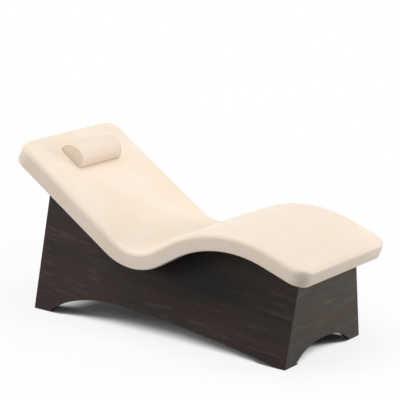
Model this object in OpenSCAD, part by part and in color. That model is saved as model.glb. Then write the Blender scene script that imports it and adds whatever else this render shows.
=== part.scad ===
// Fixed wave lounger for massage and spa rooms: an upholstered wave on a four-panel base.
// +X runs to the foot end, +Y to the left of the person lying on it, +Z up.
// The floor is z = 0 and the origin is the middle of the footprint.

/* [Cushion] */
// Width of the cushion
cushion_w = 800; // [640:1:960]
// Thickness of the cushion at the head end
cushion_head_t = 110; // [96:1:130]
// Thickness of the cushion at the foot end
cushion_foot_t = 91; // [84:1:120]
// Rounding along the cushion's top edge
top_edge_r = 29; // [20:1:34]
// Rounding along the cushion's lower edge
lower_edge_r = 8; // [5:0.5:10]
// Rise of the crown at the middle of the cushion
crown_h = 4; // [1:0.5:10]
// How far the lower edge of the side is drawn in
side_draw = 3; // [1:0.5:6]
// Radius of the cushion's corners at the head, seen from above
head_corner_r = 93; // [70:1:130]
// Radius of the cushion's corners at the foot, seen from above
foot_corner_r = 82; // [65:1:120]

/* [Wave] */
// Length of the straight part of the back
back_len = 801; // [680:1:900]
// Slope of the back
back_angle = 33.2; // [26:0.1:38]
// Radius of the seat hollow, on the underside
seat_r = 354; // [300:1:420]
// Height of the underside at the bottom of the seat hollow
seat_z = 374; // [330:1:430]
// Slope of the thighs
rise_angle = 29.7; // [24:0.1:32]
// Length of the straight part between hollow and hump
rise_len = 120; // [60:1:180]
// Radius of the knee hump, on the underside
knee_r = 678; // [600:1:760]
// Slope of the legs
foot_angle = 19; // [16:0.1:26]
// Length of the straight part at the foot end
foot_len = 242; // [175:1:280]

/* [Upholstery] */
// Thickness of the cover and its backing
cover_t = 1.6; // [1.2:0.1:2.4]
// How far the cover wraps under the deck
cover_wrap = 60; // [40:1:80]
// Thickness of the dust cover
dust_cover_t = 0.8; // [0.5:0.1:1.2]
// Thickness of the soft comfort layer
comfort_t = 35; // [32:1:42]
// Gap between soft layers
layer_gap = 0.3; // [0.2:0.05:0.5]

/* [Deck] */
// Thickness of the bent plywood deck
deck_t = 15; // [12:1:18]
// Gap between the deck's edge and the cover
deck_gap = 2; // [1.5:0.5:4]
// Gap between the deck's underside and the edge of the cover that is turned in under it
deck_lift = 0.05; // [0.02:0.01:0.2]

/* [Base] */
// How far each side of the base stands in from the cushion's edge, at the floor
base_inset = 49.5; // [40:0.5:80]
// Distance along the floor from the seat hollow to the head panel
seat_to_head_panel = 762; // [700:1:800]
// Distance along the floor from the seat hollow to the foot panel
seat_to_foot_panel = 948; // [880:1:980]
// Thickness of the panels
panel_t = 22; // [18:1:28]
// Inward lean of the side panels
side_lean = 10.7; // [6:0.1:12]
// Lean of the head panel towards the foot end
head_lean = 2.3; // [0:0.1:5]
// Lean of the foot panel, outwards
foot_lean = 3.1; // [0:0.1:5]
// Gap in the mitred corner joints
mitre_gap = 0.2; // [0.1:0.05:0.5]

/* [Arches] */
// Height of the arch under each side panel
side_arch_h = 126; // [80:1:150]
// Length of a side panel's foot at the head end
side_head_foot = 120; // [80:1:200]
// Length of a side panel's foot at the foot end
side_foot_foot = 34; // [20:1:80]
// Distance from the head panel to the top of the side arch
side_arch_peak = 545; // [400:1:700]
// Height of the arch under the head and foot panels
end_arch_h = 88; // [60:1:120]
// Width of each foot under the head and foot panels
end_foot_w = 91; // [70:1:140]

/* [Inside the base] */
// Width of the corner blocks
block_w = 45; // [38:1:60]
// Height of the corner blocks
block_h = 160; // [120:1:200]
// Thickness of the bearers along the side panels
bearer_t = 20; // [16:1:26]
// Depth of the bearers below the deck
bearer_depth = 70; // [60:1:90]
// Width of the cross rails
rail_w = 90; // [80:1:110]
// Thickness of the cross rails
rail_t = 27; // [22:1:32]
// Gap between a rail's end and the bearer
rail_gap = 0.2; // [0.1:0.1:0.5]

/* [Fasteners] */
// Diameter of the deck bolts
bolt_d = 8; // [6:1:10]
// Length of the deck bolts under the head
bolt_len = 40; // [36:1:42]
// Distance between the two bolts of a rail
bolt_span = 200; // [160:1:230]
// Diameter of the deck bolts' washers
washer_d = 24; // [18:1:28]
// Thickness of the washers
washer_t = 1.6; // [1:0.2:2]
// Diameter of a T-nut's flange
tnut_d = 22; // [18:1:26]
// Length of a T-nut's barrel
tnut_len = 10; // [8:1:11]
// Thickness of a T-nut's flange
tnut_flange_t = 1.5; // [1:0.1:2]
// Diameter of the wood screws
screw_d = 4.5; // [4:0.1:5]
// Length of the wood screws in the corner blocks
block_screw_len = 58; // [54:1:60]
// Length of the wood screws in the bearers
bearer_screw_len = 35; // [30:1:38]
// Length of the wood screws in the rails' ends
rail_screw_len = 60; // [50:1:70]
// Running clearance around bolts, nuts and screws
hole_gap = 0.15; // [0.1:0.05:0.4]

/* [Floor glides] */
// Diameter of the glides
glide_d = 28; // [20:1:34]
// Height of the glides
glide_h = 2.5; // [2:0.5:5]
// Diameter of a glide's nail
glide_nail_d = 3; // [2:0.5:4]
// Length of a glide's nail
glide_nail_len = 18; // [12:1:24]

/* [Pillow] */
// Length of the pillow across the back
pillow_len = 338; // [260:1:420]
// Depth of the pillow along the back
pillow_depth = 166; // [140:1:200]
// Height of the pillow
pillow_h = 82; // [70:1:100]
// How far the soft top of the pillow leans downhill
pillow_sag = 16; // [0:1:24]
// Distance from the head end to the pillow
pillow_from_head = 124; // [60:1:250]
// Distance of the pillow's middle from the centreline, towards the right
pillow_shift = 7; // [0:1:40]
// Rounding of the pillow's ends
pillow_end_r = 6; // [3:0.5:12]
// Thickness of the pillow's base board
pillow_board_t = 6; // [4:0.5:9]
// How far the pillow's cover wraps under its board
pillow_wrap = 22; // [15:1:30]
// Width of the hook and loop strips
strip_w = 25; // [20:1:40]
// Length of the hook and loop strips
strip_len = 110; // [80:1:120]
// Thickness of each strip
strip_t = 1.2; // [1.2:0.1:2]
// Distance between the middles of the two strips
strip_span = 160; // [120:1:200]

/* [Hidden] */

// Facets of true cylinders, of the seat and knee arcs, and of the rounded ends and edges
$fn = 48;
arc_steps = 7;
corner_steps = 6;
corner_shift = deck_gap / 20;
end_steps = 5;
edge_steps = 4;
// Overrun of every cut, and the half size of a cutting block
cut = 5;
far_out = 2 * (back_len + rise_len + foot_len + seat_to_foot_panel);

wood_dark = "#3b322e";
wood_pale = "#b08d62";
ply = "#c9a877";
cream = "#f0e2ce";
foam_colour = "#e9e2b8";
steel = "#b9bcc0";
black = "#1d1d1f";

// The wave is the line of the cushion's underside, from the head end (s = 0) to the foot end.
// at(s) gives a point of it and its slope, with x counted from the bottom of the seat hollow.
seat_arc = seat_r * (back_angle + rise_angle) * PI / 180;
knee_arc = knee_r * (rise_angle + foot_angle) * PI / 180;
s_seat = back_len;
s_rise = s_seat + seat_arc;
s_knee = s_rise + rise_len;
s_legs = s_knee + knee_arc;
s_end = s_legs + foot_len;
function along(a) = [cos(a), sin(a)];
function normal(a) = [-sin(a), cos(a)];
function seat_point(a) = [0, seat_z + seat_r] - seat_r * normal(a);
knee_centre = seat_point(rise_angle) + rise_len * along(rise_angle) - knee_r * normal(rise_angle);
function knee_point(a) = knee_centre + knee_r * normal(a);
function slope(s) =
    s <= s_seat ? -back_angle
    : s < s_rise ? -back_angle + (s - s_seat) / seat_r * 180 / PI
    : s <= s_knee ? rise_angle
    : s < s_legs ? rise_angle - (s - s_knee) / knee_r * 180 / PI
    : -foot_angle;
function wave(s) =
    s <= s_seat ? seat_point(-back_angle) - (s_seat - s) * along(-back_angle)
    : s < s_rise ? seat_point(slope(s))
    : s <= s_knee ? seat_point(rise_angle) + (s - s_rise) * along(rise_angle)
    : s < s_legs ? knee_point(slope(s))
    : knee_point(-foot_angle) + (s - s_legs) * along(-foot_angle);
function thick(s) = cushion_head_t + (cushion_foot_t - cushion_head_t) * s / s_end;

// Middle of the cushion's length, which lies over the origin
end_low = wave(0).x + lower_edge_r * (cos(back_angle) + sin(back_angle) - 1);
end_high = wave(s_end).x + (cushion_foot_t - top_edge_r) * sin(foot_angle)
    + top_edge_r * (1 - cos(foot_angle));
x_seat = -(end_low + end_high) / 2;
function place(s, n) = [x_seat, 0] + wave(s) + n * normal(slope(s));

// Stations where the wave bends, shared by every piece that follows it
bends = concat(
    [for (k = [0:arc_steps]) s_seat + seat_arc * k / arc_steps],
    [for (k = [0:arc_steps]) s_knee + knee_arc * k / arc_steps]
);
function stations(from, to) = concat([from], [for (s = bends) if (s > from && s < to) s], [to]);
function reversed(list) = [for (k = [len(list) - 1:-1:0]) list[k]];

// A slab that follows the wave between two heights above its line, each a height plus a share
// of the cushion's thickness
module wave_slab(low, high, from, to, half_w, low_share = 0, high_share = 0) {
    list = stations(from, to);
    rotate([90, 0, 0])
        linear_extrude(2 * half_w, center = true)
            polygon(concat(
                [for (s = list) place(s, low + low_share * thick(s))],
                [for (s = reversed(list)) place(s, high + high_share * thick(s))]
            ));
}

// Local frame at a station: x along the wave, z along its normal, its origin at height n
module on_wave(s, n = 0) {
    p = place(s, n);
    translate([p.x, 0, p.y]) rotate([0, -slope(s), 0]) children();
}

// Takes the square corner off a wave slab with a round of radius r, at either end. The round's
// middle stands a little outwards, so that its ends cross the slab's faces.
module corner_cut(s, dir, side, r, half_w) {
    round_points = [for (k = [0:corner_steps]) let (a = 90 * k / corner_steps)
        [-dir * r * sin(a), side * r * cos(a)]];
    on_wave(s)
        translate([dir * (r - corner_shift), side * (half_w - r + corner_shift), 0])
            linear_extrude(6 * cushion_head_t, center = true)
                polygon(concat(round_points, [
                    [-dir * (r + cut), 0], [-dir * (r + cut), side * (r + cut)], [0, side * (r + cut)]
                ]));
}

// A wave slab with its four corners rounded, set in from the cushion's outline
module round_slab(low, high, inset, low_share = 0, high_share = 0) {
    half_w = cushion_w / 2 - inset;
    difference() {
        wave_slab(low, high, inset, s_end - inset, half_w, low_share, high_share);
        for (side = [-1, 1]) {
            corner_cut(inset, 1, side, head_corner_r - inset, half_w);
            corner_cut(s_end - inset, -1, side, foot_corner_r - inset, half_w);
        }
    }
}

// Form of the cushion: rings across the wave, skinned into one closed solid
function drop(d, r) = d >= r ? 0 : r - sqrt(max(r * r - (r - d) * (r - d), 0));
crown_shares = [0.6, 0.28];
function half_ring(w, low, high, low_r, high_r, crown) = concat(
    [for (k = [0:2]) let (a = 45 * k)
        [w - side_draw - low_r + low_r * sin(a), low + low_r * (1 - cos(a))]],
    [for (k = [0:edge_steps]) let (a = 90 * k / edge_steps)
        [w - high_r + high_r * cos(a), high - high_r + high_r * sin(a)]],
    [for (q = crown_shares) [q * (w - high_r), high + crown * (1 - q * q)]]
);
function ring(half, top) = concat(half, [[0, top]], [for (p = reversed(half)) [-p.x, p.y]]);
function cushion_ring(s, inset) =
    let (
        d = min(s, s_end - s),
        corner_r = s < s_end / 2 ? head_corner_r : foot_corner_r,
        w = cushion_w / 2 - inset - drop(d - inset, corner_r - inset),
        low_r = lower_edge_r - inset,
        high_r = top_edge_r - inset,
        low = inset + drop(d - inset, low_r),
        high = thick(s) - inset - drop(d - inset, high_r),
        crown = crown_h * min(1, d / head_corner_r)
    )
    [for (p = ring(half_ring(w, low, high, low_r, high_r, crown), high + crown))
        let (q = place(s, p.y)) [q.x, p.x, q.y]];
edge_shares = [0, 1];
corner_shares = [0.17, 0.35, 0.6, 1];
function end_run(inset, corner_r) = concat(
    [for (q = edge_shares) inset + q * (lower_edge_r - inset)],
    [for (q = corner_shares) inset + q * (corner_r - inset)]
);
function cushion_stations(inset) = concat(
    end_run(inset, head_corner_r),
    bends,
    [for (d = reversed(end_run(inset, foot_corner_r))) s_end - d]
);

// One closed solid through a list of rings with equal numbers of points
module skin(rings) {
    n = len(rings[0]);
    last = len(rings) - 1;
    sides = [for (i = [0:last - 1], j = [0:n - 1])
        let (a = i * n + j, b = i * n + (j + 1) % n)
            each [[a, a + n, b], [b, a + n, b + n]]];
    polyhedron(
        points = [for (r = rings, p = r) p],
        faces = concat(sides, [[for (j = [0:n - 1]) j]], [[for (j = [n - 1:-1:0]) last * n + j]])
    );
}
module cushion_form(inset) {
    skin([for (s = cushion_stations(inset)) cushion_ring(s, inset)]);
}

// Everything at or below the underside of the deck's dust cover
seat_n = cover_t - dust_cover_t;
module under_wave() {
    list = stations(0, s_end);
    rotate([90, 0, 0])
        linear_extrude(2 * cushion_w, center = true)
            polygon(concat(
                [for (s = list) place(s, seat_n)],
                [[place(s_end, 0).x, -seat_z], [place(0, 0).x, -seat_z]]
            ));
}

// All points p with n * p >= d
module half_space(n, d) {
    size = norm(n);
    translate(n * d / (size * size))
        rotate([0, acos(n.z / size), atan2(n.y, n.x)])
            translate([-far_out, -far_out, 0])
                cube([2 * far_out, 2 * far_out, far_out]);
}

// Outer faces of the base: outward normal and distance. Side is -1 for right and 1 for left.
base_w = cushion_w - 2 * base_inset;
head_x = x_seat - seat_to_head_panel;
foot_x = x_seat + seat_to_foot_panel;
function side_n(side) = [0, side * cos(side_lean), sin(side_lean)];
side_d = base_w / 2 * cos(side_lean);
head_n = [-cos(head_lean), 0, sin(head_lean)];
head_d = -head_x * cos(head_lean);
foot_n = [cos(foot_lean), 0, -sin(foot_lean)];
foot_d = foot_x * cos(foot_lean);

// Space inside a face set in by a depth, and a board between two depths from it
module inside(n, d, depth) {
    half_space(-n, depth - d);
}
module board(n, d, from, to) {
    intersection() {
        inside(n, d, from);
        half_space(n, d - to);
    }
}
// The side of a mitre where a point lies nearer to the first face than to the second
module mitre(n1, d1, n2, d2) {
    half_space(n1 - n2, d1 - d2 + mitre_gap / 2 * norm(n1 - n2));
}
module above_glides() {
    translate([-far_out, -far_out, glide_h]) cube([2 * far_out, 2 * far_out, far_out]);
}

// Arches: each is cut straight through its panel
side_arch_head_run = side_arch_peak - side_head_foot;
side_arch_foot_run = seat_to_head_panel + seat_to_foot_panel - side_arch_peak - side_foot_foot;
arch_steps = 12;
head_run_power = 1.4;
foot_run_power = 1.55;
end_arch_power = 2.6;
module side_arch() {
    peak_x = head_x + side_arch_peak;
    head_side = [for (k = [0:arch_steps]) let (a = 90 * k / arch_steps)
        [peak_x - side_arch_head_run * cos(a), side_arch_h * pow(sin(a), head_run_power)]];
    foot_side = [for (k = [1:arch_steps]) let (q = k / arch_steps)
        [peak_x + side_arch_foot_run * q, side_arch_h * (1 - pow(q, foot_run_power))]];
    rotate([90, 0, 0])
        linear_extrude(2 * base_w, center = true)
            polygon(concat(head_side, foot_side, [
                [peak_x + side_arch_foot_run, -side_arch_h], [peak_x - side_arch_head_run, -side_arch_h]
            ]));
}
module end_arch() {
    half = base_w / 2 - end_foot_w;
    rotate([90, 0, 90])
        linear_extrude(far_out, center = true)
            polygon(concat(
                [for (k = [-arch_steps:arch_steps]) let (q = k / arch_steps)
                    [half * q, end_arch_h * (1 - pow(abs(q), end_arch_power))]],
                [[half, -end_arch_h], [-half, -end_arch_h]]
            ));
}

// Frame of a side panel: x along the floor, y inwards from its outer face, z up its slope.
// It is drawn for the right side, and the left side is its mirror.
module on_side(side) {
    mirror([0, side > 0 ? 1 : 0, 0])
        translate([0, -base_w / 2, 0])
            rotate([-side_lean, 0, 0])
                children();
}
function up_slope(z, depth) = (z + depth * sin(side_lean)) / cos(side_lean);

// A wood screw along +z with its head's face at z = 0 and its point below, and its hole
screw_head_d = 2 * screw_d;
module wood_screw(length) {
    translate([0, 0, -screw_d / 2]) cylinder(d1 = screw_d, d2 = screw_head_d, h = screw_d / 2);
    translate([0, 0, -length + screw_d]) cylinder(d = screw_d, h = length - 1.4 * screw_d);
    translate([0, 0, -length]) cylinder(d1 = screw_d / 4, d2 = screw_d, h = screw_d);
}
module screw_hole(length) {
    translate([0, 0, -screw_d / 2 - hole_gap])
        cylinder(d1 = screw_d + 2 * hole_gap, d2 = screw_head_d + 4 * hole_gap, h = screw_d / 2 + 2 * hole_gap);
    translate([0, 0, -length - hole_gap]) cylinder(d = screw_d + 2 * hole_gap, h = length);
}

// Screws that hold the bearers to the side panels
bearer_screw_shares = [0.12, 0.3, 0.46, 0.62, 0.78, 0.92];
module bearer_screw_places(side) {
    depth = panel_t + bearer_t;
    for (q = bearer_screw_shares) {
        p = place(q * s_end, -bearer_depth / 2);
        on_side(side) translate([p.x, depth, up_slope(p.y, depth)]) rotate([-90, 0, 0]) children();
    }
}

// Rails: station of each rail's middle, and the screws into its two ends
head_panel_top = head_x + wave(0).y * tan(head_lean);
head_rail_s = (head_panel_top + 2 * panel_t + rail_w / 2 - place(0, 0).x) / cos(back_angle);
back_rail_s = 0.3 * s_end;
seat_rail_s = s_seat + seat_r * back_angle * PI / 180;
knee_rail_s = s_knee + knee_r * rise_angle * PI / 180;
foot_rail_s = s_end - (place(s_end, 0).x - foot_x + 2 * panel_t + rail_w / 2) / cos(foot_angle);
rail_stations = [head_rail_s, back_rail_s, seat_rail_s, knee_rail_s, foot_rail_s];
module rail_screw_places(s, side) {
    depth = panel_t + hole_gap;
    for (dx = [-1, 1] * rail_w / 4) {
        p = place(s, -rail_t / 2) + dx * along(slope(s));
        on_side(side) translate([p.x, depth, up_slope(p.y, depth + bearer_t)])
            rotate([90, 0, 0]) children();
    }
}
module rail_screw_holes(stations_used) {
    for (s = stations_used, side = [-1, 1]) rail_screw_places(s, side) screw_hole(rail_screw_len);
}

// Deck bolts: two at each rail, with the origin on the rail's lower face
module bolt_places(stations_used) {
    for (s = stations_used, side = [-1, 1])
        on_wave(s, -rail_t) translate([0, side * bolt_span / 2, 0]) children();
}
module bolt_hole() {
    translate([0, 0, -cut]) cylinder(d = bolt_d + 2 * hole_gap, h = rail_t + deck_t + 2 * cut);
}
deck_top = cover_t + deck_t;
tnut_sink = 2 * tnut_flange_t;
tnut_barrel_d = bolt_d + 3;

// Screws that hold the corner blocks: two into the side panel and two into the end panel
block_screw_shares = [0.3, 0.75];
module block_screw_places(side, head) {
    into = panel_t + block_w;
    x_face = head ? head_x : foot_x;
    lean = head ? head_lean : foot_lean;
    dir = head ? 1 : -1;
    for (q = block_screw_shares) {
        z = q * block_h;
        on_side(side)
            translate([x_face + z * tan(lean) + dir * (panel_t + block_w / 3), into, up_slope(z, into)])
                rotate([-90, 0, 0]) children();
        y = base_w / 2 - panel_t - block_w * 2 / 3 - z * tan(side_lean);
        translate([x_face, side * y, 0]) rotate([0, lean, 0])
            translate([dir * into, 0, z + block_h / 10]) rotate([0, dir * 90, 0]) children();
    }
}

// Glides: one under each corner block
module glide_places(side, head) {
    x = head
        ? head_x + panel_t + block_w / 2
        : foot_x - panel_t - block_w / 2;
    translate([x, side * (base_w / 2 - panel_t - block_w / 2), 0]) children();
}

// Pillow: its frame has x down the back, z away from the back, and its origin under its middle
pillow_tilt = atan((cushion_foot_t - cushion_head_t) / s_end);
pillow_s = pillow_from_head + pillow_depth / 2;
pillow_n = thick(pillow_s) + crown_h + layer_gap;
module on_pillow(n = 0) {
    on_wave(pillow_s, pillow_n)
        rotate([0, -pillow_tilt, 0])
            translate([0, -pillow_shift, n])
                children();
}
pillow_rest = 2 * strip_t + layer_gap - cover_t;
pillow_arc_steps = 14;
function pillow_ring(y, inset) =
    let (
        in = inset + drop(pillow_len / 2 - inset - abs(y), pillow_end_r),
        r = pillow_depth / 2 - in,
        h = pillow_h - in,
        heel = pillow_end_r / 2
    )
    concat(
        [for (k = [0:pillow_arc_steps]) let (a = 180 * k / pillow_arc_steps)
            [r * cos(a) + pillow_sag * sin(a), y, max(h * sin(a), in + heel)]],
        [[-r + heel, y, in], [r - heel, y, in]]
    );
module pillow_form(inset) {
    half = pillow_len / 2 - inset;
    places = concat(
        [for (k = [0:end_steps]) half - pillow_end_r * (1 - cos(90 * k / end_steps))],
        [for (k = [end_steps:-1:0]) -half + pillow_end_r * (1 - cos(90 * k / end_steps))]
    );
    skin([for (y = places) pillow_ring(y, inset)]);
}
module pillow_block(inset, low, high) {
    translate([-pillow_depth / 2 + inset, -pillow_len / 2 + inset, low])
        cube([pillow_depth - 2 * inset, pillow_len - 2 * inset, high - low]);
}
module strips(t) {
    for (side = [-1, 1])
        translate([-strip_len / 2, side * strip_span / 2 - strip_w / 2, 0])
            cube([strip_len, strip_w, t]);
}

// Base

module side_panel(side) {
    color(wood_dark) difference() {
        intersection() {
            board(side_n(side), side_d, 0, panel_t);
            under_wave();
            mitre(side_n(side), side_d, head_n, head_d);
            mitre(side_n(side), side_d, foot_n, foot_d);
            above_glides();
        }
        side_arch();
        bearer_screw_places(side) screw_hole(bearer_screw_len);
        for (head = [false, true]) block_screw_places(side, head) screw_hole(block_screw_len);
    }
}
module side_panel_right() { side_panel(-1); }
module side_panel_left() { side_panel(1); }

module end_panel(n, d, head) {
    color(wood_dark) difference() {
        intersection() {
            board(n, d, 0, panel_t);
            under_wave();
            mitre(n, d, side_n(-1), side_d);
            mitre(n, d, side_n(1), side_d);
            above_glides();
        }
        end_arch();
        for (side = [-1, 1]) block_screw_places(side, head) screw_hole(block_screw_len);
    }
}
module head_panel() { end_panel(head_n, head_d, true); }
module foot_panel() { end_panel(foot_n, foot_d, false); }

module corner_block(side, head) {
    color(wood_pale) difference() {
        intersection() {
            board(side_n(side), side_d, panel_t, panel_t + block_w);
            if (head) board(head_n, head_d, panel_t, panel_t + block_w);
            else board(foot_n, foot_d, panel_t, panel_t + block_w);
            above_glides();
            translate([-far_out, -far_out, 0]) cube([2 * far_out, 2 * far_out, block_h]);
        }
        block_screw_places(side, head) screw_hole(block_screw_len);
        glide_places(side, head) cylinder(d = glide_nail_d + 2 * hole_gap, h = glide_h + glide_nail_len + hole_gap);
    }
}
module corner_block_head_right() { corner_block(-1, true); }
module corner_block_head_left() { corner_block(1, true); }
module corner_block_foot_right() { corner_block(-1, false); }
module corner_block_foot_left() { corner_block(1, false); }

module bearer(side) {
    color(wood_pale) difference() {
        intersection() {
            board(side_n(side), side_d, panel_t, panel_t + bearer_t);
            wave_slab(-bearer_depth, seat_n, 0, s_end, cushion_w);
            inside(head_n, head_d, panel_t + rail_gap);
            inside(foot_n, foot_d, panel_t + rail_gap);
        }
        bearer_screw_places(side) screw_hole(bearer_screw_len);
        rail_screw_holes(rail_stations);
    }
}
module bearer_right() { bearer(-1); }
module bearer_left() { bearer(1); }

module rail(s) {
    color(wood_pale) difference() {
        intersection() {
            on_wave(s) translate([-rail_w / 2, -cushion_w / 2, -rail_t]) cube([rail_w, cushion_w, rail_t + cut]);
            under_wave();
            inside(side_n(-1), side_d, panel_t + bearer_t + rail_gap);
            inside(side_n(1), side_d, panel_t + bearer_t + rail_gap);
        }
        bolt_places([s]) bolt_hole();
        rail_screw_holes([s]);
    }
}
module head_rail() { rail(head_rail_s); }
module back_rail() { rail(back_rail_s); }
module seat_rail() { rail(seat_rail_s); }
module knee_rail() { rail(knee_rail_s); }
module foot_rail() { rail(foot_rail_s); }

// Deck and upholstery

edge_inset = lower_edge_r + side_draw + deck_gap;
module deck() {
    color(ply) difference() {
        round_slab(cover_t + deck_lift, deck_top, edge_inset);
        bolt_places(rail_stations) bolt_hole();
        bolt_places(rail_stations) {
            translate([0, 0, rail_t + deck_top - tnut_sink]) cylinder(d = tnut_d + 2 * hole_gap, h = tnut_sink + cut);
            translate([0, 0, rail_t + deck_top - tnut_sink - tnut_len - hole_gap])
                cylinder(d = tnut_barrel_d + 2 * hole_gap, h = tnut_len + cut);
        }
    }
}

// Both foam layers are cut from the space inside the cover
layer_inset = cover_t + layer_gap;
module foam_core() {
    color(foam_colour) resize([0, 0, 0]) intersection() {
        cushion_form(layer_inset);
        wave_slab(deck_top + layer_gap, -comfort_t - layer_gap, 0, s_end, cushion_w, 0, 1);
    }
}

module comfort_layer() {
    color(foam_colour) resize([0, 0, 0]) intersection() {
        cushion_form(layer_inset);
        wave_slab(-comfort_t, cut + crown_h, 0, s_end, cushion_w, 1, 1);
    }
}

module cushion_cover() {
    color(cream) difference() {
        cushion_form(0);
        cushion_form(cover_t);
        wave_slab(-cut, cover_t + cut / 10, cover_wrap, s_end - cover_wrap, cushion_w / 2 - cover_wrap);
    }
}

module dust_cover() {
    color(black) difference() {
        wave_slab(seat_n, cover_t, cover_wrap + deck_gap, s_end - cover_wrap - deck_gap,
            cushion_w / 2 - cover_wrap - deck_gap);
        bolt_places(rail_stations) bolt_hole();
    }
}

// Fasteners

module t_nuts() {
    color(steel) bolt_places(rail_stations)
        translate([0, 0, rail_t + deck_top - tnut_sink])
            difference() {
                union() {
                    cylinder(d = tnut_d, h = tnut_flange_t);
                    translate([0, 0, -tnut_len]) cylinder(d = tnut_barrel_d, h = tnut_len);
                }
                translate([0, 0, -tnut_len - cut]) cylinder(d = bolt_d + 2 * hole_gap, h = tnut_len + 2 * cut);
            }
}

module deck_bolts() {
    color(steel) bolt_places(rail_stations) {
        translate([0, 0, -washer_t]) cylinder(d = bolt_d, h = bolt_len);
        translate([0, 0, -washer_t - 0.65 * bolt_d]) cylinder(d = 1.85 * bolt_d, h = 0.65 * bolt_d, $fn = 6);
    }
}

module deck_washers() {
    color(steel) bolt_places(rail_stations)
        translate([0, 0, -washer_t])
            difference() {
                cylinder(d = washer_d, h = washer_t);
                translate([0, 0, -cut]) cylinder(d = bolt_d + 2 * hole_gap, h = washer_t + 2 * cut);
            }
}

module block_screws() {
    color(steel)
        for (side = [-1, 1], head = [false, true])
            block_screw_places(side, head) wood_screw(block_screw_len);
}

module bearer_screws() {
    color(steel) for (side = [-1, 1]) bearer_screw_places(side) wood_screw(bearer_screw_len);
}

module rail_screws() {
    color(steel)
        for (s = rail_stations, side = [-1, 1]) rail_screw_places(s, side) wood_screw(rail_screw_len);
}

module floor_glides() {
    color(black)
        for (side = [-1, 1], head = [false, true])
            glide_places(side, head) {
                cylinder(d = glide_d, h = glide_h);
                cylinder(d = glide_nail_d, h = glide_h + glide_nail_len);
            }
}

// Pillow

module loop_strips() {
    color(cream) on_pillow() strips(strip_t);
}

module hook_strips() {
    color(black) on_pillow(strip_t + layer_gap) strips(strip_t);
}

pillow_board_inset = cover_t + pillow_end_r;
module pillow_board() {
    color(ply) on_pillow(pillow_rest + cover_t) pillow_block(pillow_board_inset, 0, pillow_board_t);
}

module pillow_foam() {
    color(foam_colour) on_pillow(pillow_rest) intersection() {
        pillow_form(cover_t + layer_gap);
        pillow_block(0, cover_t + pillow_board_t + layer_gap, 2 * pillow_h);
    }
}

module pillow_cover() {
    color(cream) on_pillow(pillow_rest) difference() {
        pillow_form(0);
        pillow_form(cover_t);
        pillow_block(pillow_wrap, -cut, cover_t + cut / 10);
    }
}

side_panel_right();
side_panel_left();
head_panel();
foot_panel();
corner_block_head_right();
corner_block_head_left();
corner_block_foot_right();
corner_block_foot_left();
bearer_right();
bearer_left();
head_rail();
back_rail();
seat_rail();
knee_rail();
foot_rail();
deck();
foam_core();
comfort_layer();
cushion_cover();
dust_cover();
t_nuts();
deck_bolts();
deck_washers();
block_screws();
bearer_screws();
rail_screws();
floor_glides();
loop_strips();
pillow_cover();
pillow_foam();
pillow_board();
hook_strips();
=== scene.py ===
import math

import bmesh
import bpy
from mathutils import Matrix, Vector


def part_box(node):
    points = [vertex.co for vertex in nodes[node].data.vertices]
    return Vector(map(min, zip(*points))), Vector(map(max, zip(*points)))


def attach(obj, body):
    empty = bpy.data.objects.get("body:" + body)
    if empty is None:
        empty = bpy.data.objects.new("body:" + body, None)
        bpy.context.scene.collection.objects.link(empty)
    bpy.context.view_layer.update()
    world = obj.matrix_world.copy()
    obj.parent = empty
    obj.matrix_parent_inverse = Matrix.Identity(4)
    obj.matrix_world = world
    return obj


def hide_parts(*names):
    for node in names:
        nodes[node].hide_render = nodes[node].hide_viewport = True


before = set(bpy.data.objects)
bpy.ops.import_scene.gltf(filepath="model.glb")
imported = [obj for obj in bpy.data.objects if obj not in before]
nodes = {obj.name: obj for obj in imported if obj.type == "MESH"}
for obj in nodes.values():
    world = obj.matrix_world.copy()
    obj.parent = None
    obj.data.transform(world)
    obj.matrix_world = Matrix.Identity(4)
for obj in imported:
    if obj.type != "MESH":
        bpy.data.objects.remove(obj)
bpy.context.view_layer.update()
scene = bpy.context.scene

# Room
# A bare photo studio: a seamless white floor that fades into the background, one large soft
# light overhead and three low ones round the table. Nothing else stands in it.


def linear(sheet_hex):
    """An sRGB hex colour as linear RGBA."""
    parts = [int(sheet_hex[i:i + 2], 16) / 255 for i in (0, 2, 4)]
    return [c / 12.92 if c <= 0.04045 else ((c + 0.055) / 1.055) ** 2.4 for c in parts] + [1.0]


def node(tree, kind, inputs=None, **settings):
    """Adds a shader node. An input that is a tuple (node, "output") is a link."""
    new = tree.nodes.new(kind)
    for key, value in settings.items():
        setattr(new, key, value)
    for key, value in (inputs or {}).items():
        if isinstance(value, tuple) and isinstance(value[0], bpy.types.Node):
            tree.links.new(value[0].outputs[value[1]], new.inputs[key])
        else:
            new.inputs[key].default_value = value
    return new


def background_rays(tree):
    """1 for a ray that shows the background: straight to the camera, off gloss or through glass."""
    rays = node(tree, "ShaderNodeLightPath")
    straight = node(tree, "ShaderNodeMath", {
        0: (rays, "Is Camera Ray"), 1: (rays, "Is Glossy Ray"),
    }, operation="MAXIMUM")
    return node(tree, "ShaderNodeMath", {
        0: (straight, "Value"), 1: (rays, "Is Transmission Ray"),
    }, operation="MAXIMUM")


# The camera looks from the photograph's viewing angle
camera_azimuth = math.radians(37.34)
camera_height = math.radians(14.09)
camera_distance = 9.005
camera_target = Vector((0.031, 0.0, 0.6955))
camera_data = bpy.data.cameras.new("camera")
camera_data.sensor_fit = "HORIZONTAL"
camera_data.sensor_width = 36.0
camera_data.lens = 150.6
camera_data.clip_end = 200.0
camera = bpy.data.objects.new("camera", camera_data)
back = Vector((
    math.sin(camera_azimuth) * math.cos(camera_height),
    -math.cos(camera_azimuth) * math.cos(camera_height),
    math.sin(camera_height),
))
camera.location = camera_target + camera_distance * back
camera.rotation_euler = back.to_track_quat("Z", "Y").to_euler()
scene.collection.objects.link(camera)
scene.camera = camera
scene.view_settings.view_transform = "Standard"

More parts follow.
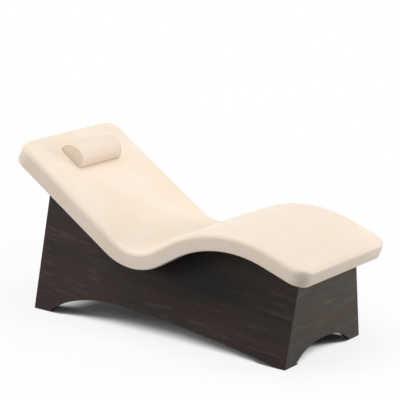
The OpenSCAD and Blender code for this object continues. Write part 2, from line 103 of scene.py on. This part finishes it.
room_light = 0.34
world = bpy.data.worlds.new("studio")
world.use_nodes = True
air = world.node_tree
air.nodes.clear()
fill = node(air, "ShaderNodeBackground", {"Color": linear("fbfbff"), "Strength": room_light})
white = node(air, "ShaderNodeBackground", {"Color": linear("ffffff"), "Strength": 1.0})
both = node(air, "ShaderNodeMixShader", {
    0: (background_rays(air), "Value"), 1: (fill, "Background"), 2: (white, "Background"),
})
node(air, "ShaderNodeOutputWorld", {"Surface": (both, "Shader")})
scene.world = world

# A row gives a lamp's place, power in watts and width. All face the same point in the table.
lamp_aim = Vector((0, 0, 0.5))
for name, spot, power, width in (
    ("overhead", (0.1, -0.3, 6.0), 213, 4.9),
    ("foot side", (3.7, 3.3, 0.95), 108, 2.0),
    ("head side", (-9.6, -7.8, 3.35), 490, 4.5),
    ("near side", (2.6, -8.0, 1.6), 94, 2.6),
):
    lamp = bpy.data.lights.new(name, "AREA")
    lamp.energy = power
    lamp.size = width
    stand = bpy.data.objects.new(name, lamp)
    stand.location = spot
    stand.rotation_euler = (Vector(spot) - lamp_aim).to_track_quat("Z", "Y").to_euler()
    scene.collection.objects.link(stand)

floor_reach = 30.0
floor_mesh = bpy.data.meshes.new("floor")
floor_mesh.from_pydata(
    [(x * floor_reach, y * floor_reach, 0) for x, y in ((-1, -1), (1, -1), (1, 1), (-1, 1))],
    [], [(0, 1, 2, 3)],
)
floor = bpy.data.objects.new("floor", floor_mesh)
scene.collection.objects.link(floor)


def blank(name):
    """A new material with no nodes yet."""
    material = bpy.data.materials.new(name)
    material.use_nodes = True
    material.node_tree.nodes.clear()
    return material


# Matt white paint, which takes the table's shadow and turns to plain white away from it
shadow_reach = 1.0
white_reach = 2.2
paint = blank("white floor")
tree = paint.node_tree
where = node(tree, "ShaderNodeTexCoord")
reach = node(tree, "ShaderNodeVectorMath", {0: (where, "Object")}, operation="LENGTH")
fade = node(tree, "ShaderNodeMapRange", {
    "Value": (reach, "Value"), "From Min": shadow_reach, "From Max": white_reach,
})
# Painted light: under each arch the floor glows as if light fell in there, and the glow dies
# away behind the arch, the further in the higher the arch stands; further in, the floor is
# painted a darker grey for shade. A row gives the axis along a panel and the axis in from it, the
# panel's outer face and the way in, the depths where the painted light starts and stops fading
# and where the painted shade starts, and what share of those depths holds along the panel.
foot_lean = 0.026
painted_arch_glow = 0.82
least_share = 0.02
dusk_run = 2.2
axes = node(tree, "ShaderNodeSeparateXYZ", {"Vector": (where, "Object")})
side_low, side_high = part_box("side_panel_right")
painted_light = under = None
for along_axis, in_axis, face, way, start, stop, dusk, shares in (
    ("X", "Y", side_low[1], 1, 0.0, 0.168, 0.11, (
        (0.08, 0.02), (0.124, 0.18), (0.173, 0.44), (0.242, 0.72), (0.314, 0.91), (0.433, 1.0),
        (0.512, 1.0), (0.595, 0.89), (0.682, 0.7), (0.766, 0.51), (0.851, 0.26), (0.936, 0.02))),
    ("Y", "X", side_high[0] - foot_lean, -1, 0.017, 0.132, 0.08, (
        (0.15, 0.02), (0.21, 0.3), (0.31, 0.62), (0.43, 0.93), (0.54, 1.0), (0.6, 0.86),
        (0.657, 0.7), (0.704, 0.53), (0.748, 0.34), (0.794, 0.13), (0.84, 0.02))),
    ("Y", "X", side_low[0], 1, -0.03, 0.245, 0.28, (
        (0.1, 0.02), (0.17, 0.6), (0.3, 1.0), (0.7, 1.0), (0.9, 0.02))),
    ("X", "Y", -side_low[1], -1, 0.0, 0.19, 0.08, (
        (0.6, 0.05), (0.8, 0.42), (0.9, 0.42), (1.0, 0.05))),
):
    if along_axis == "X":
        first, last = side_low[0], side_high[0]
    else:
        first, last = side_low[1], -side_low[1]
    run = node(tree, "ShaderNodeMapRange", {
        "Value": (axes, along_axis), "From Min": first, "From Max": last,
    })
    share = node(tree, "ShaderNodeFloatCurve", {"Value": (run, "Result")})
    points = share.mapping.curves[0].points
    points[0].location, points[1].location = (0.0, shares[0][1]), (1.0, shares[-1][1])
    for point in shares:
        points.new(*point)
    for point in points:
        point.handle_type = "AUTO_CLAMPED"
    share.mapping.update()
    share = node(tree, "ShaderNodeMath", {0: (share, "Value"), 1: least_share},
                 operation="MAXIMUM")
    depth = node(tree, "ShaderNodeMath", {0: (axes, in_axis), 1: way, 2: -way * face},
                 operation="MULTIPLY_ADD")
    depth = node(tree, "ShaderNodeMath", {0: (depth, "Value"), 1: (share, "Value")},
                 operation="DIVIDE")
    painted_glow = node(tree, "ShaderNodeMapRange", {
        "Value": (depth, "Value"), "From Min": start, "From Max": stop,
        "To Min": painted_arch_glow, "To Max": 0.0,
    }, interpolation_type="SMOOTHSTEP")
    painted_light = node(tree, "ShaderNodeMath", {
        0: (painted_glow, "Result"), 1: (painted_light, "Value") if painted_light else 0.0,
    }, operation="MAXIMUM")
    inside = node(tree, "ShaderNodeMapRange", {
        "Value": (depth, "Value"), "From Min": dusk, "From Max": dusk_run * dusk,
    }, interpolation_type="SMOOTHSTEP")
    under = node(tree, "ShaderNodeMath", {
        0: (inside, "Result"), 1: (under, "Value") if under else 1.0,
    }, operation="MINIMUM")
# The painted light under the arches joins the floor's fade to a white glow
fade = node(tree, "ShaderNodeMath", {0: (fade, "Result"), 1: (painted_light, "Value")}, operation="MAXIMUM")
shown = background_rays(tree)
bare = node(tree, "ShaderNodeMath", {0: (fade, "Value"), 1: (shown, "Value")},
            operation="MULTIPLY")
# Painted shade: as the camera sees it, the floor deep under the table is a darker grey
painted_dusk = node(tree, "ShaderNodeMix", {
    "Factor": (under, "Value"), "A": linear("ffffff"), "B": linear("c4c4c4"),
}, data_type="RGBA")
# Light that the floor throws back on the table is that of a greyer floor
shade = node(tree, "ShaderNodeMix", {
    "Factor": (shown, "Value"), "A": linear("979797"), "B": (painted_dusk, "Result"),
}, data_type="RGBA")
matt = node(tree, "ShaderNodeBsdfDiffuse", {"Color": (shade, "Result")})
glow = node(tree, "ShaderNodeEmission", {"Color": linear("ffffff"), "Strength": 1.0})
both = node(tree, "ShaderNodeMixShader", {
    0: (bare, "Value"), 1: (matt, "BSDF"), 2: (glow, "Emission"),
})
node(tree, "ShaderNodeOutputMaterial", {"Surface": (both, "Shader")})
floor_mesh.materials.append(paint)

# Cushion
# The cushion is one wave of foam on bent plywood, under a cover of smooth synthetic leather
# that is pulled round the edge and stapled under the deck. Its top edge is softly rounded.

cushion_w = 0.800
head_t = 0.110
foot_t = 0.091
top_edge_r = 0.029
lower_edge_r = 0.008
crown_h = 0.004
side_draw = 0.003
head_corner_r = 0.093
foot_corner_r = 0.082
cover_wrap = 0.060
recess_h = 0.0024
recess_run = 0.001

back_len = 0.801
back_angle = math.radians(33.2)
seat_r = 0.354
seat_z = 0.374
rise_angle = math.radians(29.7)
rise_len = 0.120
knee_r = 0.678
foot_angle = math.radians(19)
foot_len = 0.242

s_rise = back_len + seat_r * (back_angle + rise_angle)
s_knee = s_rise + rise_len
s_legs = s_knee + knee_r * (rise_angle + foot_angle)
s_end = s_legs + foot_len


def along(slope):
    """The way along the wave to the foot end, where it rises at a slope."""
    return Vector((math.cos(slope), 0, math.sin(slope)))


def normal(slope):
    """The way up from the wave, where it rises at a slope."""
    return Vector((-math.sin(slope), 0, math.cos(slope)))


seat_centre = Vector((0, 0, seat_z + seat_r))
knee_centre = seat_centre - seat_r * normal(rise_angle) + rise_len * along(rise_angle) \
    - knee_r * normal(rise_angle)


def wave(s):
    """Point and slope of the cushion's underside at s, a length along it from the head end."""
    if s <= back_len:
        slope = -back_angle
        return seat_centre - seat_r * normal(slope) - (back_len - s) * along(slope), slope
    if s < s_rise:
        slope = (s - back_len) / seat_r - back_angle
        return seat_centre - seat_r * normal(slope), slope
    if s <= s_knee:
        slope = rise_angle
        return seat_centre - seat_r * normal(slope) + (s - s_rise) * along(slope), slope
    if s < s_legs:
        slope = rise_angle - (s - s_knee) / knee_r
        return knee_centre + knee_r * normal(slope), slope
    slope = -foot_angle
    return knee_centre + knee_r * normal(slope) + (s - s_legs) * along(slope), slope


def thick(s):
    """The cushion's thickness at s, which falls evenly from the head to the foot end."""
    return head_t + (foot_t - head_t) * s / s_end


# The object's middle in X is 0, so the seat's lowest point stands off it by x_seat
low_end = wave(0)[0].x + lower_edge_r * (math.cos(back_angle) + math.sin(back_angle) - 1)
high_end = wave(s_end)[0].x + (foot_t - top_edge_r) * math.sin(foot_angle) \
    + top_edge_r * (1 - math.cos(foot_angle))
x_seat = -(low_end + high_end) / 2


def place(s, y, n):
    """The point at height n over the wave's line."""
    point, slope = wave(s)
    return Vector((x_seat, y, 0)) + point + n * normal(slope)


def drop(d, r):
    """How far an edge rounded to radius r falls back at a distance d in from it."""
    return 0 if d >= r else r - math.sqrt(max(r * r - (r - d) ** 2, 0))


def cushion_half(s):
    """Half of the cushion's outline at s, from the middle of its underside to its crown."""
    d = min(s, s_end - s)
    corner_r = head_corner_r if s < s_end / 2 else foot_corner_r
    w = cushion_w / 2 - drop(d, corner_r)
    low = drop(d, lower_edge_r)
    high = thick(s) - drop(d, top_edge_r)
    crown = crown_h * min(1, d / head_corner_r)
    recess = recess_h if d > cover_wrap + recess_run else 0
    points = [(0, low + recess), (w - cover_wrap - recess_run, low + recess)]
    points += [(w - cover_wrap, low), (w - cover_wrap / 2, low)]
    lower_w = w - side_draw
    points += [(lower_w - lower_edge_r * (1 - math.sin(a)), low + lower_edge_r * (1 - math.cos(a)))
               for a in [math.radians(18 * k) for k in range(6)]]
    start, stop = low + lower_edge_r, high - top_edge_r
    points += [(w - side_draw * (1 - q), start + (stop - start) * q) for q in (0.2, 0.4, 0.6, 0.8)]
    points += [(w - top_edge_r * (1 - math.cos(a)), stop + top_edge_r * math.sin(a))
               for a in [math.radians(9 * k) for k in range(11)]]
    points += [(q * (w - top_edge_r), high + crown * (1 - q * q))
               for q in (0.93, 0.84, 0.74, 0.63, 0.52, 0.41, 0.3, 0.2, 0.1, 0)]
    return points


def end_run(corner_r):
    """Distances in from an end, every 6 degrees round its corner."""
    return [corner_r * (1 - math.cos(math.radians(6 * k))) for k in range(16)]


step = 0.018
end_zone = 0.12
least_step = 0.0001
stations = end_run(head_corner_r) + [s_end - d for d in end_run(foot_corner_r)]
stations += [cover_wrap, cover_wrap + 2 * recess_run]
stations += [s_end - cover_wrap - 2 * recess_run, s_end - cover_wrap]
stations += [end_zone + step * k for k in range(int((s_end - 2 * end_zone) / step) + 1)]
stations = sorted(stations)
stations = [s for i, s in enumerate(stations) if i == 0 or s - stations[i - 1] > least_step]


def skin(name, rings):
    """One closed smooth mesh through rings of points."""
    count = len(rings[0])
    faces = []
    for i in range(0, (len(rings) - 1) * count, count):
        for j in range(count):
            k = (j + 1) % count
            faces.append((i + j, i + count + j, i + count + k, i + k))
    end = len(rings) * count
    faces += [tuple(range(count)), tuple(range(end - 1, end - count - 1, -1))]
    mesh = bpy.data.meshes.new(name)
    mesh.from_pydata([p for ring in rings for p in ring], [], faces)
    shape = bmesh.new()
    shape.from_mesh(mesh)
    bmesh.ops.recalc_face_normals(shape, faces=shape.faces)
    shape.to_mesh(mesh)
    shape.free()
    mesh.shade_smooth()
    piece = bpy.data.objects.new(name, mesh)
    scene.collection.objects.link(piece)
    return piece


rings = []
for s in stations:
    half = cushion_half(s)
    outline = half + [(-y, n) for y, n in half[-2:0:-1]]
    rings.append([place(s, y, n) for y, n in outline])
cushion = skin("cushion", rings)


def synthetic_leather(name, pale, deep):
    """Smooth polyurethane leather: an embossed pebble under a soft, even sheen."""
    material = blank(name)
    tree = material.node_tree
    where = node(tree, "ShaderNodeTexCoord")
    # The hide's own 1.5 mm pebble is finer than a pixel, so it is drawn at 3 mm
    pebble = node(tree, "ShaderNodeTexVoronoi", {
        "Vector": (where, "Object"), "Scale": 1 / 0.003, "Randomness": 0.9,
    }, feature="SMOOTH_F1")
    pores = node(tree, "ShaderNodeTexNoise", {
        "Vector": (where, "Object"), "Scale": 1 / 0.0012, "Detail": 2.0,
    })
    # The colour drifts a little between two creams over 220 mm
    mottle = node(tree, "ShaderNodeTexNoise", {
        "Vector": (where, "Object"), "Scale": 1 / 0.22, "Detail": 3.0, "Roughness": 0.55,
    })
    tone = node(tree, "ShaderNodeMapRange", {
        "Value": (mottle, "Fac"), "From Min": 0.35, "From Max": 0.65,
    })
    colour = node(tree, "ShaderNodeMix", {
        "Factor": (tone, "Result"), "A": linear(pale), "B": linear(deep),
    }, data_type="RGBA")
    # The pebble's valleys are drawn a little darker
    valley = node(tree, "ShaderNodeMapRange", {
        "Value": (pebble, "Distance"), "From Min": 0.2, "From Max": 0.8,
        "To Min": 0.0, "To Max": 0.1,
    })
    colour = node(tree, "ShaderNodeMix", {
        "Factor": (valley, "Result"), "A": (colour, "Result"), "B": linear("c9ae92"),
    }, data_type="RGBA")
    gloss = node(tree, "ShaderNodeMapRange", {
        "Value": (mottle, "Fac"), "From Min": 0.3, "From Max": 0.7,
        "To Min": 0.42, "To Max": 0.52,
    })
    relief = node(tree, "ShaderNodeMath", {0: (pebble, "Distance"), 1: (pores, "Fac")},
                  operation="ADD")
    bump = node(tree, "ShaderNodeBump", {
        "Height": (relief, "Value"), "Strength": 0.35, "Distance": 0.0004,
    })
    surface = node(tree, "ShaderNodeBsdfPrincipled", {
        "Base Color": (colour, "Result"), "Roughness": (gloss, "Result"),
        "Normal": (bump, "Normal"), "IOR": 1.5, "Specular IOR Level": 0.35,
        "Sheen Weight": 0.08, "Sheen Roughness": 0.4,
    })
    node(tree, "ShaderNodeOutputMaterial", {"Surface": (surface, "BSDF")})
    return material


cushion.data.materials.append(synthetic_leather("cream synthetic leather", "f5e6d5", "f2e1cd"))
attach(cushion, "table")
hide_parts("cushion_cover", "comfort_layer", "foam_core")

# Pillow
# The pillow is a half-round block of soft foam on a thin board, in a cover of the same cream
# leather with a seam round each flat end. It lies on the back on two hook and loop strips.

pillow_len = 0.338
pillow_depth = 0.166
pillow_h = 0.082
pillow_sag = 0.016
pillow_from_head = 0.124
pillow_shift = 0.007
pillow_gap = 0.0003
strip_t = 0.0012
cover_t = 0.0016

pillow_tilt = math.atan((foot_t - head_t) / s_end)
pillow_s = pillow_from_head + pillow_depth / 2
pillow_slope = wave(pillow_s)[1] + pillow_tilt
pillow_foot = 2 * strip_t + pillow_gap - cover_t
pillow_origin = place(pillow_s, 0, thick(pillow_s) + crown_h + pillow_gap)
pillow_frame = Matrix.Translation(pillow_origin) @ Matrix.Rotation(-pillow_slope, 4, "Y") \
    @ Matrix.Translation((0, -pillow_shift, pillow_foot))

# The cover's lower edge is drawn in under the board, which leaves a thin shadow line
edge_h = 0.0022
edge_draw = 0.005
edge_fall = 0.0002
top_steps, base_steps = 56, 14


def pillow_outline(inset):
    """The D of the pillow's end: over the top from the foot-side corner, then back below."""
    r, h = pillow_depth / 2 - inset, pillow_h - inset
    over = []
    for turn in [math.radians(180 * k / top_steps) for k in range(top_steps + 1)]:
        x = r * math.cos(turn) + pillow_sag * math.sin(turn)
        over.append((min(x, r), max(h * math.sin(turn), edge_h)))
    under = [(-r + edge_draw, edge_h - edge_fall), (-r + edge_draw, 0)]
    under += [((r - edge_draw) * (2 * k / base_steps - 1), 0) for k in range(1, base_steps + 1)]
    return over + under + [(r - edge_draw, edge_h - edge_fall)]


# Each flat end is a set of rings that close in on its middle, so that the cloth has even faces
swell = 0.002
seam_r = 0.0011
run_steps = 40
half = pillow_len / 2 - swell - seam_r
middle_x, middle_z = pillow_sag * 0.55, pillow_h * 0.42
edge = pillow_outline(swell)
ends = [[(half, middle_x + (x - middle_x) * q, middle_z + (z - middle_z) * q) for x, z in edge]
        for q in (0.1, 0.25, 0.4, 0.55, 0.7, 0.82, 0.92, 0.98)]
runs = [[(half * (1 - 2 * k / run_steps), x, z) for x, z in edge] for k in range(run_steps + 1)]
rings = ends + runs + [[(-y, x, z) for y, x, z in ring] for ring in ends[::-1]]
pillow = skin("pillow", [[pillow_frame @ Vector((x, y, z)) for y, x, z in ring] for ring in rings])
to_pillow = pillow_frame.inverted()
count = len(edge)
first_seam = len(ends)
last_seam = len(ends) + run_steps

# The foam's push on the cover: a short cloth simulation under pressure. The base board and the
# two seams hold the cover, and the top and the ends fill out between them.
foam_push = 4.0
most_swell = 0.004
seam_hold = 0.92
hold_fade = 0.02
settle_frames = 20
held = pillow.vertex_groups.new(name="held")
rest = [v.co.copy() for v in pillow.data.vertices]
# Held in full up to 5 mm over the base, and free from 25 mm on
for i, point in enumerate(rest):
    held.add([i], min(1, max(0, 1.25 - (to_pillow @ point).z / hold_fade)), "REPLACE")
seams = [ring * count + k for ring in (first_seam, last_seam) for k in range(count)]
held.add(seams, seam_hold, "REPLACE")
cloth = pillow.modifiers.new("filling", "CLOTH")
cloth.settings.use_pressure = True
cloth.settings.uniform_pressure_force = foam_push
cloth.settings.effector_weights.gravity = 0.0
cloth.settings.vertex_group_mass = "held"
cloth.settings.quality = 6
for tick in range(1, settle_frames + 1):
    scene.frame_set(tick)
filled = pillow.evaluated_get(bpy.context.evaluated_depsgraph_get()).to_mesh()
settled = [v.co.copy() for v in filled.vertices]
for vertex, start, new in zip(pillow.data.vertices, rest, settled):
    shift = new - start
    if shift.length > most_swell:
        shift *= most_swell / shift.length
    local = to_pillow @ (start + shift)
    local.z = max(local.z, 0.0)
    vertex.co = pillow_frame @ local
pillow.modifiers.clear()
pillow.vertex_groups.clear()
scene.frame_set(1)

# Each end is sewn on with a thin rolled seam
rolls = bmesh.new()
rolls.from_mesh(pillow.data)
seam_sides = 6
for seam, side in ((first_seam, 1), (last_seam, -1)):
    loop = [pillow.data.vertices[seam * count + k].co.copy() for k in range(count)]
    outward = pillow_frame.to_3x3() @ Vector((0, side, 0))
    tube = []
    for k, point in enumerate(loop):
        run = (loop[(k + 1) % count] - loop[k - 1]).normalized()
        away = run.cross(outward).normalized()
        ring = []
        for turn in [math.tau * j / seam_sides for j in range(seam_sides)]:
            spoke = math.cos(turn) * outward + math.sin(turn) * away
            local = to_pillow @ (point + seam_r * spoke)
            local.z = max(local.z, 0.0)
            ring.append(rolls.verts.new(pillow_frame @ local))
        tube.append(ring)
    for k, near in enumerate(tube):
        far = tube[(k + 1) % count]
        for j in range(seam_sides):
            other = (j + 1) % seam_sides
            rolls.faces.new((near[j], near[other], far[other], far[j]))
bmesh.ops.recalc_face_normals(rolls, faces=rolls.faces)
rolls.to_mesh(pillow.data)
rolls.free()
pillow.data.shade_smooth()
# Painted shade: the pillow's cover is a slightly deeper copy of the cushion's cream, for its front,
# which lies in less light
pillow.data.materials.append(
    synthetic_leather("cream synthetic leather, pillow", "f1e1cf", "eddcc8"))
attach(pillow, "pillow")
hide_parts("pillow_cover", "pillow_foam")

# Base
# Four boards faced with dark-stained wenge veneer under a matt lacquer, mitred at the corners.
# Its figure shows as long paler streaks and red-brown clouds that fall a little to the foot end.


def veneer(name, grain_axis, tilt, hues, painted_shade_place):
    """Stained wenge veneer, with its grain along one axis (0 is X, 1 is Y) and a slope of tilt."""
    ground, dark, warm, pale, painted_shade_hue, pore = hues
    material = blank(name)
    tree = material.node_tree
    where = node(tree, "ShaderNodeTexCoord")
    level = node(tree, "ShaderNodeMapping", {"Vector": (where, "Object"), "Rotation": tilt})
    colour = None
    # A row gives a kind of mark: its width and length in metres, detail and place, its hue, the
    # noise where it starts and is full, and its strength. Shade bands are 45 mm wide, clouds
    # 110 mm and streaks 24 mm, and the pores, 0.3 mm on the real one, are drawn 3 mm wide.
    for width, length, detail, shift, hue, first, last, most in (
        (0.045, 0.50, 2.0, (1.3, 0.2, 4.1), dark, 0.42, 0.66, 0.7),
        (0.110, 0.45, 1.5, (5.9, 3.1, 1.6), warm, 0.37, 0.6, 0.9),
        (0.024, 0.19, 1.0, (3.1, 1.7, 5.2), pale, 0.56, 0.8, 0.75),
        (0.003, 0.06, 1.0, (0.4, 9.2, 2.3), pore, 0.45, 0.7, 0.3),
    ):
        space = node(tree, "ShaderNodeMapping", {
            "Vector": (level, "Vector"), "Location": shift,
            "Scale": [1 / (length if axis == grain_axis else width) for axis in range(3)],
        })
        marks = node(tree, "ShaderNodeTexNoise", {
            "Vector": (space, "Vector"), "Scale": 1.0, "Detail": detail, "Roughness": 0.5,
        })
        amount = node(tree, "ShaderNodeMapRange", {
            "Value": (marks, "Fac"), "From Min": first, "From Max": last, "To Max": most,
        })
        colour = node(tree, "ShaderNodeMix", {
            "Factor": (amount, "Result"), "A": (colour, "Result") if colour else linear(ground),
            "B": linear(hue),
        }, data_type="RGBA")
    # Painted shade: the board darkens towards a spot high in its middle, under the cushion's
    # overhang
    painted_shade_along, painted_shade_up, half_length, half_width = painted_shade_place
    offset, scale = [0, 0, -painted_shade_up / half_width], [0, 0, 1 / half_width]
    offset[grain_axis], scale[grain_axis] = -painted_shade_along / half_length, 1 / half_length
    centred = node(tree, "ShaderNodeMapping", {
        "Vector": (level, "Vector"), "Location": offset, "Scale": scale,
    })
    core = node(tree, "ShaderNodeTexGradient", {"Vector": (centred, "Vector")},
                gradient_type="SPHERICAL")
    amount = node(tree, "ShaderNodeMapRange", {
        "Value": (core, "Fac"), "From Max": 0.8, "To Max": 0.85,
    }, interpolation_type="SMOOTHSTEP")
    colour = node(tree, "ShaderNodeMix", {
        "Factor": (amount, "Result"), "A": (colour, "Result"), "B": linear(painted_shade_hue),
    }, data_type="RGBA")
    # Painted shade: all but the board's two broad faces, the cut arches among them, are near black,
    # for the shadow that lies in the arches
    least_facing = 0.4
    facing = node(tree, "ShaderNodeSeparateXYZ", {"Vector": (where, "Normal")})
    across = node(tree, "ShaderNodeMath", {0: (facing, "XY"[1 - grain_axis])},
                  operation="ABSOLUTE")
    painted_arch_shade = node(tree, "ShaderNodeMath", {0: (across, "Value"), 1: least_facing},
               operation="LESS_THAN")
    colour = node(tree, "ShaderNodeMix", {
        "Factor": (painted_arch_shade, "Value"), "A": (colour, "Result"), "B": linear("141211"),
    }, data_type="RGBA")
    # The lacquer is matt, and a little rougher in the pores
    gloss = node(tree, "ShaderNodeMapRange", {
        "Value": (marks, "Fac"), "From Min": 0.3, "From Max": 0.7,
        "To Min": 0.46, "To Max": 0.56,
    })
    bump = node(tree, "ShaderNodeBump", {
        "Height": (marks, "Fac"), "Strength": 0.25, "Distance": 0.0003,
    })
    surface = node(tree, "ShaderNodeBsdfPrincipled", {
        "Base Color": (colour, "Result"), "Roughness": (gloss, "Result"),
        "Normal": (bump, "Normal"), "IOR": 1.5, "Specular IOR Level": 0.1,
    })
    node(tree, "ShaderNodeOutputMaterial", {"Surface": (surface, "BSDF")})
    return material


def finish_nodes(names, material):
    """Gives CAD nodes their material."""
    for name in names:
        nodes[name].data.materials.clear()
        nodes[name].data.materials.append(material)


grain_fall = math.radians(6)
# The fifth hue in each list is the painted shade under the cushion's overhang
finish_nodes(["side_panel_right", "side_panel_left"], veneer(
    "stained wenge veneer, long boards", 0, (0, -grain_fall, 0),
    ("332d28", "26221e", "3e2e2b", "4f4741", "141210", "151310"), (0.12, 0.42, 0.75, 0.33)))
# The end boards' stain is a paler, greyer copy of the long boards': painted light, for the brighter
# light and sheen that the foot end catches
finish_nodes(["head_panel", "foot_panel"], veneer(
    "stained wenge veneer, end boards", 1, (0, 0, 0),
    ("504b44", "45423b", "52473f", "625d54", "3c3933", "35322d"), (0.12, 0.56, 0.5, 0.24)))

# Frame in the base
# Corner blocks, bearers and cross rails are plain planed beech, screwed and glued inside the
# base, and the deck and the pillow's board are birch plywood. None of it is lacquered.


def planed_wood(name, run, early, late, fleck):
    """Pale wood as planed: soft year bands 5 mm apart and short flecks 1 mm wide."""
    material = blank(name)
    tree = material.node_tree
    where = node(tree, "ShaderNodeTexCoord")
    colour = linear(early)
    mark_fade = 0.14
    for width, hue, first, most in ((0.005, late, 0.42, 0.9), (0.001, fleck, 0.58, 0.6)):
        space = node(tree, "ShaderNodeMapping", {
            "Vector": (where, "Object"), "Scale": [1 / (width * length) for length in run],
        })
        marks = node(tree, "ShaderNodeTexNoise", {
            "Vector": (space, "Vector"), "Scale": 1.0, "Detail": 3.0,
        })
        amount = node(tree, "ShaderNodeMapRange", {
            "Value": (marks, "Fac"), "From Min": first, "From Max": first + mark_fade,
            "To Max": most,
        })
        mixed = node(tree, "ShaderNodeMix", {
            "Factor": (amount, "Result"), "A": colour, "B": linear(hue),
        }, data_type="RGBA")
        colour = (mixed, "Result")
    gloss = node(tree, "ShaderNodeMapRange", {
        "Value": (marks, "Fac"), "From Min": 0.3, "From Max": 0.7,
        "To Min": 0.5, "To Max": 0.62,
    })
    bump = node(tree, "ShaderNodeBump", {
        "Height": (marks, "Fac"), "Strength": 0.2, "Distance": 0.0002,
    })
    surface = node(tree, "ShaderNodeBsdfPrincipled", {
        "Base Color": colour, "Roughness": (gloss, "Result"), "Normal": (bump, "Normal"),
        "IOR": 1.5, "Specular IOR Level": 0.4,
    })
    node(tree, "ShaderNodeOutputMaterial", {"Surface": (surface, "BSDF")})
    return material


finish_nodes([n for n in nodes if n.startswith(("corner_block", "bearer_right", "bearer_left"))],
             planed_wood("planed beech", (16, 1, 1), "c29c6e", "a98258", "8f6b46"))
finish_nodes([n for n in nodes if n.endswith("_rail")],
             planed_wood("planed beech, rails", (1, 16, 1), "c29c6e", "a98258", "8f6b46"))
finish_nodes(["deck", "pillow_board"],
             planed_wood("birch plywood", (16, 1, 1), "e0c79d", "cfae80", "b8935f"))

# Fasteners
# Zinc-plated steel: bolts and washers up through the rails into T-nuts in the deck, and
# countersunk wood screws in the blocks, bearers and rails.

# The plating gives a bright grey shine with a faint bloom in patches of 4 mm
zinc = blank("zinc-plated steel")
tree = zinc.node_tree
where = node(tree, "ShaderNodeTexCoord")
bloom = node(tree, "ShaderNodeTexNoise", {
    "Vector": (where, "Object"), "Scale": 1 / 0.004, "Detail": 3.0,
})
gloss = node(tree, "ShaderNodeMapRange", {
    "Value": (bloom, "Fac"), "From Min": 0.3, "From Max": 0.7, "To Min": 0.28, "To Max": 0.42,
})
colour = node(tree, "ShaderNodeMix", {
    "Factor": (bloom, "Fac"), "A": linear("b4b7bb"), "B": linear("c9cbcd"),
}, data_type="RGBA")
surface = node(tree, "ShaderNodeBsdfPrincipled", {
    "Base Color": (colour, "Result"), "Roughness": (gloss, "Result"), "Metallic": 1.0,
})
node(tree, "ShaderNodeOutputMaterial", {"Surface": (surface, "BSDF")})
finish_nodes(["t_nuts", "deck_bolts", "deck_washers", "block_screws", "bearer_screws",
              "rail_screws"], zinc)

# Tape, glides and dust cover
# Hook and loop tape holds the pillow, and moulded black glides are nailed under the four feet.
# A black spun cloth closes the deck from below, stretched and hanging a little between the rails.


def matt_stuff(name, hue, grain, depth, roughness):
    """A matt material that one fine relief breaks up: tape pile, moulding grain or spun fibre."""
    material = blank(name)
    tree = material.node_tree
    where = node(tree, "ShaderNodeTexCoord")
    relief = node(tree, "ShaderNodeTexVoronoi", {"Vector": (where, "Object"), "Scale": 1 / grain})
    tone = node(tree, "ShaderNodeMapRange", {
        "Value": (relief, "Distance"), "To Min": 0.0, "To Max": 0.35,
    })
    colour = node(tree, "ShaderNodeMix", {
        "Factor": (tone, "Result"), "A": linear(hue), "B": linear("6f6a66"),
    }, data_type="RGBA")
    bump = node(tree, "ShaderNodeBump", {
        "Height": (relief, "Distance"), "Strength": 0.5, "Distance": depth,
    })
    surface = node(tree, "ShaderNodeBsdfPrincipled", {
        "Base Color": (colour, "Result"), "Roughness": roughness, "Normal": (bump, "Normal"),
        "IOR": 1.46,
    })
    node(tree, "ShaderNodeOutputMaterial", {"Surface": (surface, "BSDF")})
    return material


finish_nodes(["loop_strips"], matt_stuff("loop tape", "d9c9b4", 0.0012, 0.0006, 0.95))
finish_nodes(["hook_strips"], matt_stuff("hook tape", "19191b", 0.0012, 0.0006, 0.8))
finish_nodes(["floor_glides"], matt_stuff("moulded nylon", "161618", 0.0008, 0.0001, 0.5))

cloth_t = 0.0008
cloth_sag = 0.003
cloth_span = 0.0008
cloth_edge = 0.062
cloth_half = cushion_w / 2 - cloth_edge
sag_half = 0.24
rail_hold = 0.06
rail_fade = 0.08
end_fade = 0.1
span_fade = 0.05
rows, columns = 96, 20
rails = [sum(corner[0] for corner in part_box(name)) / 2 for name in nodes if name.endswith("_rail")]
rings = []
for s in [cloth_edge + (s_end - 2 * cloth_edge) * k / rows for k in range(rows + 1)]:
    x = place(s, 0, 0).x
    # The cloth is held near each rail and at its two ends, and sags where it is free
    free = min(1, max(0, min(abs(x - rail) for rail in rails) - rail_hold) / rail_fade)
    free *= min(1, (s - cloth_edge) / end_fade, (s_end - cloth_edge - s) / end_fade)
    # Stretched cloth can't follow the hollow under the knees, so it stands off the deck there
    off = min(1, (s - s_knee) / span_fade + 1, (s_legs - s) / span_fade + 1)
    span = cloth_span * max(0, off)
    across = [-cloth_half + 2 * cloth_half * k / columns for k in range(columns + 1)]
    hang = [span + cloth_sag * free * max(0, 1 - (y / sag_half) ** 2) for y in across]
    rings.append([place(s, y, cover_t - cloth_t - h) for y, h in zip(across, hang)]
                 + [place(s, y, cover_t - h) for y, h in zip(across[::-1], hang[::-1])])
dust_cloth = skin("dust_cloth", rings)
dust_cloth.data.materials.append(
    matt_stuff("spun polypropylene cloth", "17171a", 0.002, 0.0004, 0.9))
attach(dust_cloth, "table")
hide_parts("dust_cover")
